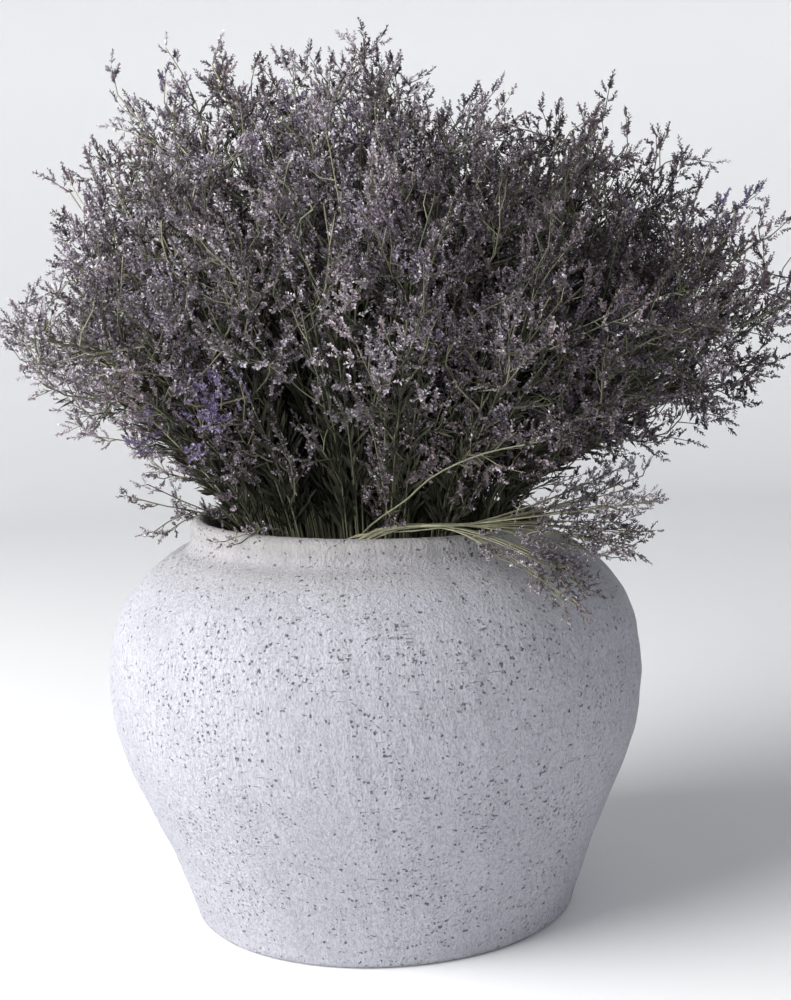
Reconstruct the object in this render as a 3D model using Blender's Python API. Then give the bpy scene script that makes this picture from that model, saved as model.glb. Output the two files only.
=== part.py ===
# Dried statice standing in a round stoneware vase.
# Metres, +Z up. The origin is the centre of the vase's foot. -Y is the front.

import math
import random

import bmesh
import bpy
import numpy as np
from mathutils.bvhtree import BVHTree

# Vase
VASE_HEIGHT = 0.257
RIM_RADIUS = 0.1172
BELLY_RADIUS = 0.173
BELLY_HEIGHT = 0.159
FOOT_RADIUS = 0.1255
WALL = 0.0112
FOOT_ROUNDING = 0.005
FLOOR_STEP = 0.004
LIP_POINTS = 5
FOOT_POINTS = 3
VASE_SIDES = 32
STONEWARE_COLOUR = (0.60, 0.60, 0.66)
STONEWARE_ROUGHNESS = 0.85
# Outer wall between the neck and the foot: height, radius
OUTER_WALL = (
    (0.2450, 0.1168),
    (0.2360, 0.1310),
    (0.2250, 0.1455),
    (0.2040, 0.1630),
    (BELLY_HEIGHT, BELLY_RADIUS),
    (0.1200, 0.1685),
    (0.0820, 0.1545),
    (0.0510, 0.1412),
    (0.0250, 0.1320),
)

# Bunch
SEED = 41
SPRAYS = 41
GOLDEN_ANGLE = math.pi * (3 - math.sqrt(5))
SEAT_GAP = 0.0003
FLOOR_SPREAD = 0.072
WAIST_SPREAD = 0.082
WAIST_HEIGHT = 0.180
MOUTH_SPREAD = 0.097
FAN_CENTRE = 0.247
# Reach of the tips from the middle of the mouth: degrees above level, distance
LEFT_REACH = ((28, 0.312), (36, 0.302), (44, 0.280), (54, 0.292), (64, 0.332), (80, 0.342), (90, 0.332))
RIGHT_REACH = (
    (20, 0.305),
    (27, 0.340),
    (34, 0.340),
    (42, 0.298),
    (50, 0.340),
    (58, 0.342),
    (67, 0.296),
    (78, 0.312),
    (90, 0.332),
)
FRONT_REACH = ((35, 0.250), (50, 0.268), (70, 0.300), (90, 0.332))
BACK_REACH = ((35, 0.250), (50, 0.268), (70, 0.300), (90, 0.332))
SIDE_BLEND = 1.3
LOWEST_LEFT = 30
LOWEST_RIGHT = 24
LOWEST_FRONT = 38
LOWEST_BACK = 36
HEAD_SHARE = 0.945
REACH_SPREAD = 0.035
STEM_BOW = 0.010

# Head of a spray: a core that its florets stand out of. Shares are of the stem's run and of the spray's cell.
HEAD_SIDES = 7
HEAD_ROOT_INNER = 0.66
HEAD_ROOT_OUTER = 0.55
HEAD_SHOULDER = 0.90
HEAD_BANDS = 4
CORE_WIDTHS = (0.18, 0.38, 0.52, 0.60, 0.63)
CROWN = ((0.950, 0.54), (0.980, 0.27))
CORE_JITTER = 0.10
FLORET_REACH = (0.82, 0.93)
HEAD_FLORET_LEAN = (0.70, 1.10)
CROWN_JITTER = 0.012
SHOULDER_FLORET = (0.990, 0.78)
CROWN_FLORET = (1.025, 0.45)
TIP_PLACE = 1.04
CELL_LIMIT = 1.25
RIM_OF_BUNCH = 1.06
FACE_MIDDLE = 0.75
STEM_INTO_HEAD = 0.06

# Sprigs: side branches that stand out of the head, or hang below it round the bunch
SPRIG_OFFSET = 0.38
SPRIG_LEAVE = 0.72
SPRIG_STRETCH = (1.03, 1.09)
SPRIG_HEAD = 0.011
SPRIG_BARE = 0.45
UPPER_SPRIGS = 1
FLANK_START = 0.66
LOWER_SPRIGS = 1
LOWER_FAN = 1.1
LOWER_OFFSET = 1.25
LOWER_LEAVE = (0.52, 0.56)
LOWER_END = (0.72, 0.84)
LOWER_BARE = 0.34
LIMB_POINTS = 15
LAID_POINTS = 40
LAID_INSIDE = (0, 0.15, 0.28)
LAID_SWING = 0.45
LAID_AHEAD = 0.1
LIMB_END = 0.93
LIMB_SIDES = 3
STEM_SEGMENTS = 5
BRANCH_SEGMENTS = 2
LAID_SEGMENTS = 16
UPPER_SEGMENTS = 4
LOWER_SEGMENTS = 3
STEM_RADIUS = 0.0020
LIMB_RADIUS = 0.0014
FLORET_LEAN = 0.75
CORE_SHARE = 0.42
LEAST_FLORET = 1.3
CORE_TAPER = 0.90
CLEARANCE = 0.0012
SAMPLE_STEP = 0.006
NEAR = 0.02
STEEP = 0.8
FLORET_ROUGHNESS = 0.9
FLORET_TONES = ((0.34, 0.30, 0.35), (0.38, 0.33, 0.37), (0.30, 0.29, 0.30), (0.36, 0.30, 0.38))

# Tips of the sprigs that stand out of the bunch's outline, with where they leave their stems
STANDING_REACH = 1.02
STANDING_STRETCHES = (1.00, 1.03, 1.06, 1.09, 1.12)
STANDING_WIDTHS = (0, 0.3, 0.6)
STANDING_TURNS = 12
HANGING_TURNS = (-0.8, -0.4, 0, 0.4, 0.8)
HANGING_WIDTHS = (1.0, 1.3, 1.6, 1.9)
HANGING_ENDS = (0.80, 0.90, 1.00)
STANDING_OUT = (
    (0.72, (-0.165, 0.000, 0.552)),
    (0.72, (-0.196, 0.010, 0.492)),
    (0.72, (-0.090, 0.020, 0.563)),
    (0.72, (0.004, -0.010, 0.566)),
    (0.72, (0.040, 0.010, 0.552)),
    (0.72, (0.172, 0.000, 0.530)),
    (0.72, (0.216, 0.010, 0.490)),
    (0.72, (0.252, 0.000, 0.466)),
    (0.54, (0.268, -0.010, 0.338)),
    (0.54, (0.210, -0.070, 0.350)),
    (0.54, (-0.196, -0.010, 0.318)),
    (0.54, (-0.250, 0.000, 0.380)),
)

# Sprays laid over the rim by hand: their run from the mouth on, and where their branches leave and end
LAID_SPRAYS = {
    "trailing_spray": {
        "route": ((-0.012, -0.092, 0.2550), (0.028, -0.106, 0.2600), (0.070, -0.118, 0.2650), (0.165, -0.098, 0.2700)),
        "bare": 0.80,
        "head": 0.014,
        "limbs": (
            (0.62, (0.174, -0.060, 0.296)),
            (0.66, (0.155, -0.125, 0.258)),
            (0.66, (0.128, -0.152, 0.222)),
            (0.70, (0.152, -0.075, 0.278)),
        ),
    },
    "drooping_sprig": {
        "route": ((-0.093, 0.000, 0.2550), (-0.112, 0.000, 0.2630), (-0.131, -0.002, 0.2675), (-0.154, -0.005, 0.2750)),
        "bare": 0.86,
        "head": 0.007,
        "limbs": ((0.86, (-0.139, -0.014, 0.2530)), (0.84, (-0.128, -0.014, 0.2540))),
    },
    "front_sprig": {
        "route": ((-0.051, -0.078, 0.2550), (-0.060, -0.092, 0.2640), (-0.074, -0.113, 0.2580)),
        "bare": 0.90,
        "head": 0.005,
        "limbs": ((0.90, (-0.085, -0.094, 0.2565)),),
    },
}


def reset_scene():
    for item in list(bpy.data.objects):
        bpy.data.objects.remove(item, do_unlink=True)


def material(name, colour, roughness):
    made = bpy.data.materials.new(name)
    made.use_nodes = True
    shader = made.node_tree.nodes["Principled BSDF"]
    shader.inputs["Base Color"].default_value = (*colour, 1)
    shader.inputs["Roughness"].default_value = roughness
    shader.inputs["Metallic"].default_value = 0
    return made


def through(points, places):
    """Points of the smooth curve through the given ones, at shares of its run from 0 to 1."""
    points = np.array(points, float)
    knots = np.concatenate([[0], np.cumsum(np.linalg.norm(np.diff(points, axis=0), axis=1))])
    slopes = np.gradient(points, knots, axis=0)
    out = []
    for place in np.atleast_1d(places):
        u = place * knots[-1]
        i = min(int(np.searchsorted(knots, u, side="right")) - 1, len(points) - 2)
        h = knots[i + 1] - knots[i]
        t = (u - knots[i]) / h
        out.append(
            (1 + 2 * t) * (1 - t) ** 2 * points[i]
            + t * (1 - t) ** 2 * h * slopes[i]
            + t * t * (3 - 2 * t) * points[i + 1]
            + t * t * (t - 1) * h * slopes[i + 1]
        )
    return np.array(out)


def vase_profile():
    """From the middle of the inner floor, up the inside, over the lip and down to the foot."""
    outer = [(r, z) for z, r in OUTER_WALL]
    inner = [(r - WALL, z) for z, r in reversed(OUTER_WALL[::2])]
    lip_middle = RIM_RADIUS - WALL / 2
    lip_height = VASE_HEIGHT - WALL / 2
    lip = []
    for turn in np.linspace(math.pi, 0, LIP_POINTS):
        lip.append((lip_middle + WALL / 2 * math.cos(turn), lip_height + WALL / 2 * math.sin(turn)))
    foot = []
    for turn in np.linspace(0, math.pi / 2, FOOT_POINTS):
        foot.append(
            (FOOT_RADIUS - FOOT_ROUNDING + FOOT_ROUNDING * math.cos(turn), FOOT_ROUNDING * (1 - math.sin(turn)))
        )
    floor = [(0, WALL), (FOOT_RADIUS - 2 * WALL, WALL), (FOOT_RADIUS - WALL, WALL + FLOOR_STEP)]
    return floor + inner + lip + outer + foot + [(0, 0)]


def build_vase():
    profile = vase_profile()
    mesh = bpy.data.meshes.new("vase")
    edges = [(i, i + 1) for i in range(len(profile) - 1)]
    mesh.from_pydata([(r, 0, z) for r, z in profile], edges, [])
    vase = bpy.data.objects.new("vase", mesh)
    bpy.context.collection.objects.link(vase)
    turn = vase.modifiers.new("turned", "SCREW")
    turn.steps = VASE_SIDES
    turn.render_steps = VASE_SIDES
    turn.use_merge_vertices = True
    turn.merge_threshold = 0.0001
    turn.use_smooth_shade = True
    mesh.materials.append(material("stoneware", STONEWARE_COLOUR, STONEWARE_ROUGHNESS))
    return vase


def table(pairs, angle):
    return float(np.interp(angle, [p[0] for p in pairs], [p[1] for p in pairs]))


def tip(rho, phi, stretch):
    """Where a stem through the disc point (rho, phi) ends."""
    side = abs(math.cos(phi)) ** SIDE_BLEND
    right = math.cos(phi) > 0
    front = math.sin(phi) < 0
    low_side = LOWEST_RIGHT if right else LOWEST_LEFT
    low_deep = LOWEST_FRONT if front else LOWEST_BACK
    lowest = side * low_side + (1 - side) * low_deep
    angle = 90 - (90 - lowest) * rho
    reach_side = table(RIGHT_REACH if right else LEFT_REACH, angle)
    reach_deep = table(FRONT_REACH if front else BACK_REACH, angle)
    reach = (side * reach_side + (1 - side) * reach_deep) * stretch
    lean = math.radians(angle)
    out = reach * math.cos(lean)
    return np.array([out * math.cos(phi), out * math.sin(phi), FAN_CENTRE + reach * math.sin(lean)])


def flow(q, stretch, place):
    """Where a stem through the disc point q is, at a share of its run from the vase's floor to its tip."""
    rho = math.hypot(q[0], q[1])
    phi = math.atan2(q[1], q[0])
    aside = np.array([q[0], q[1], 0])
    foot = aside * FLOOR_SPREAD + [0, 0, WALL + SEAT_GAP]
    waist = aside * WAIST_SPREAD + [0, 0, WAIST_HEIGHT]
    mouth = aside * MOUTH_SPREAD + [0, 0, VASE_HEIGHT]
    end = tip(rho, phi, stretch)
    middle = (mouth + end) / 2 + np.array([0, 0, STEM_BOW * rho])
    return through([foot, waist, mouth, middle, end], place)[0]


def disc_point(index):
    rho = math.sqrt((index + 0.5) / SPRAYS)
    phi = index * GOLDEN_ANGLE
    return rho * np.array([math.cos(phi), math.sin(phi)])


def outward(q):
    length = np.linalg.norm(q)
    return q / length if length > 0 else np.array([1.0, 0.0])


def turned(vector, angle):
    cos, sin = math.cos(angle), math.sin(angle)
    return np.array([cos * vector[0] - sin * vector[1], sin * vector[0] + cos * vector[1]])


def flow_limb(q, offset, leave, end, stretch, count):
    """A side branch that leaves the stem at an angle and then runs along beside it."""
    points = []
    for t in np.linspace(0, 1, count):
        ease = t * (2 - t)
        points.append(flow(q + offset * ease, stretch, leave + (end - leave) * t))
    return np.array(points)


def free_limb(stem, leave, end, count):
    """A side branch that leaves the stem along its run and ends at a chosen point."""
    start = along(stem, leave)
    ahead = along(stem, min(leave + LAID_AHEAD, 1)) - start
    ahead = ahead / np.linalg.norm(ahead) * np.linalg.norm(end - start) * LAID_SWING
    t = np.linspace(0, 1, count)[:, None]
    return (1 - t) ** 2 * start + 2 * t * (1 - t) * (start + ahead) + t * t * end


class Limb:
    """One run of stem: bare as far as bare, and set with florets from there to its tip."""

    def __init__(self, path, bare, radius, head, segments, bare_segments, in_head=False):
        self.path = path
        self.in_head = in_head
        self.bare = bare
        self.radius = radius
        self.head = head
        self.segments = segments
        self.bare_segments = bare_segments


def reserved_cells():
    """The disc point nearest to the place where each hand-laid spray passes the mouth."""
    points = np.array([disc_point(i) for i in range(SPRAYS)])
    cells = {}
    for name, laid in LAID_SPRAYS.items():
        mouth = np.array(laid["route"][0][:2]) / MOUTH_SPREAD
        order = np.argsort(np.linalg.norm(points - mouth, axis=1))
        cells[name] = int(next(i for i in order if int(i) not in cells.values()))
    return cells


def cell_reach(q, neighbours, direction):
    """How far a spray's own cell of the disc runs from its stem in a direction."""
    reach = CELL_LIMIT / math.sqrt(SPRAYS)
    for other in neighbours:
        apart = other - q
        ahead = apart @ direction
        if ahead > 0:
            reach = min(reach, (apart @ apart) / 2 / ahead)
    rho = np.linalg.norm(q)
    ahead = q @ direction
    rim = math.sqrt(max(ahead**2 + RIM_OF_BUNCH**2 - rho**2, 0)) - ahead
    return min(reach, rim)


def head_mesh(q, neighbours, stretch, rng):
    """A spray's head: pointed florets raised from every face of a smaller core."""
    outer = min(np.linalg.norm(q) / FLANK_START, 1)
    root = HEAD_ROOT_INNER + (HEAD_ROOT_OUTER - HEAD_ROOT_INNER) * outer
    places = np.linspace(root, HEAD_SHOULDER, HEAD_BANDS + 1)
    phase = rng.uniform(0, 2 * math.pi)
    step = 2 * math.pi / HEAD_SIDES
    points = [flow(q, stretch, root - 2 * (places[1] - places[0]) * CORE_WIDTHS[0])]
    faces = []

    def at(turn, width, place):
        direction = np.array([math.cos(turn), math.sin(turn)])
        reach = cell_reach(q, neighbours, direction)
        points.append(flow(q + direction * reach * width, stretch, place))
        return len(points) - 1

    rings = []
    bands = list(zip(places, CORE_WIDTHS)) + list(CROWN)
    for i, (place, width) in enumerate(bands):
        ring = []
        for k in range(HEAD_SIDES):
            uneven = 1 + rng.uniform(-CORE_JITTER, CORE_JITTER)
            ring.append(at(phase + step * (k + i / 2), width * uneven, place))
        rings.append(ring)
    for k in range(HEAD_SIDES):
        faces.append((0, rings[0][(k + 1) % HEAD_SIDES], rings[0][k]))
    for i in range(len(rings) - 1):
        low, high = rings[i], rings[i + 1]
        for k in range(HEAD_SIDES):
            a, b = low[k], low[(k + 1) % HEAD_SIDES]
            d, c = high[k], high[(k + 1) % HEAD_SIDES]
            turn = phase + step * (k + i / 2 + FACE_MIDDLE)
            if i < HEAD_BANDS:
                place = places[i] + rng.uniform(*HEAD_FLORET_LEAN) * (places[i + 1] - places[i])
                width = rng.uniform(*FLORET_REACH)
            elif i == HEAD_BANDS:
                place, width = SHOULDER_FLORET
            else:
                place, width = CROWN_FLORET
            peak = at(turn, width, place + rng.uniform(-CROWN_JITTER, CROWN_JITTER))
            faces += [(a, b, peak), (b, c, peak), (c, d, peak), (d, a, peak)]
    points.append(flow(q, stretch, TIP_PLACE))
    top = len(points) - 1
    for k in range(HEAD_SIDES):
        faces.append((rings[-1][k], rings[-1][(k + 1) % HEAD_SIDES], top))
    return points, faces


def lean_towards(q, neighbours, tip_at):
    """The place in a spray's own cell, and the stretch, that bring a sprig nearest to a tip."""
    choices = []
    for turn in np.linspace(0, 2 * math.pi, STANDING_TURNS, endpoint=False):
        direction = np.array([math.cos(turn), math.sin(turn)])
        reach = cell_reach(q, neighbours, direction)
        for width in STANDING_WIDTHS:
            offset = direction * reach * width
            for stretch in STANDING_STRETCHES:
                apart = np.linalg.norm(flow(q + offset, stretch, 1) - tip_at)
                choices.append((apart, offset, stretch))
    apart, offset, stretch = min(choices, key=lambda choice: choice[0])
    return offset, stretch


def hang_towards(q, stretch, tip_at):
    """The way out of the bunch, and how far along it, that bring a low sprig nearest to a tip."""
    choices = []
    for turn in HANGING_TURNS:
        for width in HANGING_WIDTHS:
            offset = turned(outward(q) * width / math.sqrt(SPRAYS), turn)
            for end in HANGING_ENDS:
                apart = np.linalg.norm(flow(q + offset, stretch, end) - tip_at)
                choices.append((apart, offset, end))
    apart, offset, end = min(choices, key=lambda choice: choice[0])
    return offset, end


class Spray:
    """A stem, the sprigs on it and the mesh of its head, if it has one."""

    def __init__(self, limbs, head=None):
        self.limbs = limbs
        self.head = head


def grow_spray(index, taken, standing, rng):
    q = disc_point(index)
    neighbours = [disc_point(i) for i in range(SPRAYS) if i != index and i not in taken]
    cell = 1 / math.sqrt(SPRAYS)
    stretch = HEAD_SHARE * (1 + rng.uniform(-REACH_SPREAD, REACH_SPREAD))
    outer = min(np.linalg.norm(q) / FLANK_START, 1)
    top = HEAD_ROOT_INNER + (HEAD_ROOT_OUTER - HEAD_ROOT_INNER) * outer + STEM_INTO_HEAD
    stem = np.array([flow(q, stretch, s) for s in np.linspace(0, top, LIMB_POINTS)])
    limbs = [Limb(stem, 1, STEM_RADIUS, 0, 0, STEM_SEGMENTS)]
    phase = rng.uniform(0, 2 * math.pi)
    for leave, tip_at in standing:
        high = leave > LOWER_LEAVE[1]
        if high:
            offset, longer = lean_towards(q, neighbours, tip_at)
            path = flow_limb(q, offset, leave, 1, longer, LIMB_POINTS)
        else:
            offset, end = hang_towards(q, stretch, tip_at)
            path = flow_limb(q, offset, leave, end, stretch, LIMB_POINTS)
        limbs.append(Limb(path, SPRIG_BARE, LIMB_RADIUS, SPRIG_HEAD, UPPER_SEGMENTS, BRANCH_SEGMENTS, high))
    for k in range(UPPER_SPRIGS if not standing else 0):
        turn = phase + 2 * math.pi * k / UPPER_SPRIGS
        direction = np.array([math.cos(turn), math.sin(turn)])
        offset = direction * cell_reach(q, neighbours, direction) * SPRIG_OFFSET
        longer = stretch * rng.uniform(*SPRIG_STRETCH)
        path = flow_limb(q, offset, SPRIG_LEAVE, 1, longer, LIMB_POINTS)
        limbs.append(Limb(path, SPRIG_BARE, LIMB_RADIUS, SPRIG_HEAD, UPPER_SEGMENTS, BRANCH_SEGMENTS, True))
    if np.linalg.norm(q) > FLANK_START and not standing:
        for k in range(LOWER_SPRIGS):
            turn = (k + 0.5 - LOWER_SPRIGS / 2) * LOWER_FAN
            offset = turned(outward(q) * cell * LOWER_OFFSET, turn)
            leave = rng.uniform(*LOWER_LEAVE)
            end = rng.uniform(*LOWER_END)
            path = flow_limb(q, offset, leave, end, stretch, LIMB_POINTS)
            limbs.append(Limb(path, LOWER_BARE, LIMB_RADIUS, SPRIG_HEAD, LOWER_SEGMENTS, BRANCH_SEGMENTS))
    return Spray(limbs, head_mesh(q, neighbours, stretch, rng))


def lay_spray(name, index):
    """A spray that leaves the vase over its rim, by a route chosen by hand."""
    laid = LAID_SPRAYS[name]
    q = disc_point(index)
    inside = [flow(q, 1, s) for s in LAID_INSIDE]
    stem = through(inside + [np.array(p) for p in laid["route"]], np.linspace(0, 1, LAID_POINTS))
    limbs = [Limb(stem, laid["bare"], STEM_RADIUS, laid["head"], UPPER_SEGMENTS, LAID_SEGMENTS)]
    for leave, end in laid["limbs"]:
        path = free_limb(stem, leave, np.array(end), LIMB_POINTS)
        limbs.append(Limb(path, LOWER_BARE, LIMB_RADIUS, laid["head"], LOWER_SEGMENTS, BRANCH_SEGMENTS))
    return Spray(limbs)


def standing_out(taken):
    """Gives each sprig that stands out to the spray whose stem heads for its tip."""
    free = [i for i in range(SPRAYS) if i not in taken]
    given = {}
    for leave, tip_at in STANDING_OUT:
        apart = {i: np.linalg.norm(flow(disc_point(i), STANDING_REACH, 1) - tip_at) for i in free if i not in given}
        given[min(apart, key=apart.get)] = (leave, tip_at)
    return given


def grow_bunch():
    rng = random.Random(SEED)
    cells = reserved_cells()
    standing = standing_out(cells.values())
    bunch = {}
    number = 0
    for index in range(SPRAYS):
        if index in cells.values():
            continue
        number += 1
        bunch[f"spray_{number:02d}"] = grow_spray(
            index, cells.values(), [standing[index]] if index in standing else [], rng
        )
    for name, index in cells.items():
        bunch[name] = lay_spray(name, index)
    return bunch


def along(path, place):
    """The point at a share of a path's length."""
    steps = np.linalg.norm(np.diff(path, axis=0), axis=1)
    run = np.concatenate([[0], np.cumsum(steps)])
    return np.array([np.interp(place * run[-1], run, path[:, k]) for k in range(3)])


def samples(bunch):
    """Points along every limb, with the name of their spray and their limb's number in it."""
    points, sprays, limbs = [], [], []
    for name, spray in bunch.items():
        for number, limb in enumerate(spray.limbs):
            length = np.linalg.norm(np.diff(limb.path, axis=0), axis=1).sum()
            steps = int(math.ceil(length / SAMPLE_STEP))
            for k in range(steps + 1):
                points.append(along(limb.path, k / steps))
                sprays.append(name)
                limbs.append(number)
    return np.array(points), np.array(sprays), np.array(limbs)


def vase_room(point):
    """How far a point is from the vase's wall."""
    profile = np.array(vase_profile())
    here = np.array([math.hypot(point[0], point[1]), point[2]])
    start, run = profile[:-1], np.diff(profile, axis=0)
    share = np.clip(((here - start) * run).sum(axis=1) / (run**2).sum(axis=1), 0, 1)
    return np.linalg.norm(start + run * share[:, None] - here, axis=1).min() - CLEARANCE


def room(point, others):
    """How far florets may reach: half of the way to the nearest other limb, and clear of heads and vase."""
    limbs, heads = others
    nearest = np.linalg.norm(limbs - point, axis=1).min()
    nearest = math.sqrt(max(nearest**2 - (SAMPLE_STEP / 2) ** 2, 0))
    apart = min([head.find_nearest(point)[3] for head in heads]) - CLEARANCE
    return min((nearest - CLEARANCE) / 2, apart, vase_room(point))


def across(direction, turn):
    """Two square directions across a run, turned about it."""
    side = np.cross(direction, [0.0, 1.0, 0.0] if abs(direction[1]) < STEEP else [1.0, 0.0, 0.0])
    side = side / np.linalg.norm(side)
    up = np.cross(direction, side)
    return math.cos(turn) * side + math.sin(turn) * up, math.cos(turn) * up - math.sin(turn) * side


def limb_mesh(limb, others):
    """A tube with pointed florets raised from every face of its head."""
    sides = LIMB_SIDES
    bare_segments = limb.bare_segments
    places = list(np.linspace(0, limb.bare, bare_segments + 1))
    places += list(np.linspace(limb.bare, LIMB_END, limb.segments + 1)[1:])
    rings = []
    points = []
    faces = []
    twist = math.pi / sides
    for i, place in enumerate(places):
        centre = along(limb.path, place)
        ahead = along(limb.path, min(place + NEAR, 1)) - along(limb.path, max(place - NEAR, 0))
        ahead = ahead / np.linalg.norm(ahead)
        if i == 0 and centre[2] < WAIST_HEIGHT:
            ahead = np.array([0.0, 0.0, 1.0])
        into_head = max(i - bare_segments, 0)
        radius = limb.radius
        if into_head:
            radius = max(limb.radius, CORE_SHARE * min(limb.head, room(centre, others)))
            radius *= CORE_TAPER ** (into_head - 1)
        side, up = across(ahead, into_head * twist)
        ring = []
        for k in range(sides):
            turn = 2 * math.pi * k / sides
            ring.append(len(points))
            points.append(centre + radius * (math.cos(turn) * side + math.sin(turn) * up))
        rings.append(ring)
    for i in range(len(rings) - 1):
        low, high = rings[i], rings[i + 1]
        in_head = i >= bare_segments
        for k in range(sides):
            a, b = low[k], low[(k + 1) % sides]
            c, d = high[(k + 1) % sides], high[k]
            if not in_head:
                faces += [(a, b, c), (a, c, d)]
                continue
            place = places[i] + FLORET_LEAN * (places[i + 1] - places[i])
            foot = along(limb.path, place)
            ahead = along(limb.path, min(place + NEAR, 1)) - along(limb.path, place - NEAR)
            ahead = ahead / np.linalg.norm(ahead)
            middle = (points[a] + points[b] + points[c] + points[d]) / 4 - foot
            middle = middle - ahead * (middle @ ahead)
            middle = middle / np.linalg.norm(middle)
            reach = max(min(limb.head, room(foot, others)), limb.radius * LEAST_FLORET)
            peak = len(points)
            points.append(foot + middle * reach)
            faces += [(a, b, peak), (b, c, peak), (c, d, peak), (d, a, peak)]
    last = rings[-1]
    if limb.segments:
        points.append(along(limb.path, 1))
        for k in range(sides):
            faces.append((last[k], last[(k + 1) % sides], len(points) - 1))
    else:
        faces.append(tuple(last))
    first = rings[0]
    faces.append(tuple(reversed(first)))
    return points, faces


def as_object(name, points, faces):
    mesh = bpy.data.meshes.new(name)
    mesh.from_pydata([tuple(p) for p in points], [], faces)
    mesh.update()
    made = bpy.data.objects.new(name, mesh)
    return made


def keep_largest(mesh):
    """Fills a hollow that the joining seals, and drops a loose scrap."""
    shape = bmesh.new()
    shape.from_mesh(mesh)
    left = set(shape.verts)
    bodies = []
    while left:
        body, edge = set(), [left.pop()]
        while edge:
            point = edge.pop()
            body.add(point)
            near = {line.other_vert(point) for line in point.link_edges} & left
            left -= near
            edge += near
        bodies.append(body)
    largest = max(bodies, key=len)
    for body in bodies:
        if body is not largest:
            bmesh.ops.delete(shape, geom=list(body), context="VERTS")
    shape.to_mesh(mesh)
    shape.free()


def build_spray(name, spray, samples_of, heads, finish):
    """One stem with its side branches, joined in one body."""
    points, sprays, numbers = samples_of
    branches = bpy.data.collections.new(name + "_branches")
    bpy.context.scene.collection.children.link(branches)
    for number, limb in enumerate(spray.limbs):
        near_heads = [head for owner, head in heads.items() if owner != name or not limb.in_head]
        others = points[(sprays != name) | (numbers != number)], near_heads
        if number == 0:
            trunk = as_object(name, *limb_mesh(limb, others))
            bpy.context.collection.objects.link(trunk)
            continue
        branch = as_object(f"{name}_{number}", *limb_mesh(limb, others))
        branches.objects.link(branch)
    if spray.head:
        branches.objects.link(as_object(f"{name}_head", *spray.head))
    join = trunk.modifiers.new("grown together", "BOOLEAN")
    join.operation = "UNION"
    join.operand_type = "COLLECTION"
    join.collection = branches
    join.solver = "MANIFOLD"
    bpy.context.view_layer.update()
    joined = bpy.data.meshes.new_from_object(trunk.evaluated_get(bpy.context.evaluated_depsgraph_get()))
    trunk.modifiers.clear()
    trunk.data = joined
    keep_largest(joined)
    for branch in list(branches.objects):
        bpy.data.objects.remove(branch, do_unlink=True)
    bpy.data.collections.remove(branches)
    joined.materials.clear()
    joined.materials.append(finish)
    return trunk


def build_bunch():
    bunch = grow_bunch()
    points = samples(bunch)
    heads = {name: BVHTree.FromPolygons(*spray.head) for name, spray in bunch.items() if spray.head}
    for number, (name, spray) in enumerate(bunch.items()):
        tone = FLORET_TONES[number % len(FLORET_TONES)]
        build_spray(name, spray, points, heads, material(name, tone, FLORET_ROUGHNESS))


reset_scene()
build_vase()
build_bunch()
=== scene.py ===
# Looks of the dried statice and its stoneware vase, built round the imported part.
# Metres, in the part's frame: +Z up, -Y the front, the origin at the centre of the vase's foot.

import math

import bpy
import numpy as np
from mathutils import Matrix, Vector


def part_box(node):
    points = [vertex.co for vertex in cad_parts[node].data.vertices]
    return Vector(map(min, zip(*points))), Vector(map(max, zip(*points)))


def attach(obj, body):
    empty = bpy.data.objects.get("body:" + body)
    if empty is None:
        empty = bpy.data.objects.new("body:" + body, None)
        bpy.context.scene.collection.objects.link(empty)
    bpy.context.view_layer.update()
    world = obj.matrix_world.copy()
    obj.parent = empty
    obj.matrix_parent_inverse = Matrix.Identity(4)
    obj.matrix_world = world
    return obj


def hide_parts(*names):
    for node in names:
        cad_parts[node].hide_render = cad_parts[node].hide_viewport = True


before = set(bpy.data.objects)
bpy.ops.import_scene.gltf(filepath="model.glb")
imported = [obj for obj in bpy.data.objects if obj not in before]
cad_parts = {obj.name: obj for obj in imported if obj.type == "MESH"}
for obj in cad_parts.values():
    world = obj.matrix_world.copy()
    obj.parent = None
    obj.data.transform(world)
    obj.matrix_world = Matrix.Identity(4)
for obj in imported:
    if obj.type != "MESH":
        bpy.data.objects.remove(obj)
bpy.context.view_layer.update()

SEED = 12
UP = np.array([0.0, 0.0, 1.0])

# Vase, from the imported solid's far corner and from the part's own sizes
VASE_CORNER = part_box("vase")[1]
VASE_HEIGHT = VASE_CORNER[2]
BELLY_RADIUS = VASE_CORNER[0]
BELLY_HEIGHT = 0.159
RIM_RADIUS = 0.1172
FOOT_RADIUS = 0.1255
FOOT_ROUNDING = 0.005
FLOOR_ROUNDING = 0.006
WALL = 0.0112
# Outer wall between the neck and the foot: height, radius
OUTER_WALL = (
    (0.2450, 0.1168),
    (0.2360, 0.1310),
    (0.2250, 0.1455),
    (0.2040, 0.1630),
    (BELLY_HEIGHT, BELLY_RADIUS),
    (0.1200, 0.1685),
    (0.0820, 0.1545),
    (0.0510, 0.1412),
    (0.0250, 0.1320),
)
VASE_TURNS = 280
OUTER_ROWS = 84
INNER_ROWS = 14
LIP_ROWS = 9
FOOT_ROWS = 4
LIP_TILT = 0.004
LIP_TILT_FROM = 0.225

# Unevenness of the hand-made wall: its depths, waves round it and turns up it, and the height it starts at
WOBBLE = 0.0005
WOBBLE_WAVES = (2, 3, 4)
WOBBLE_TWIST = 9
RIPPLE = 0.00012
RIPPLE_WAVES = (19, 27, 41, 58)
RIPPLE_TWIST = 40
WHEEL_WAVES = 3
WHEEL_TWIST = 260
TWIST_SPREAD = (0.5, 1.5)
WAVE_PHASES = (0, 6.3)
EVEN_BELOW = 0.02

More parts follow.
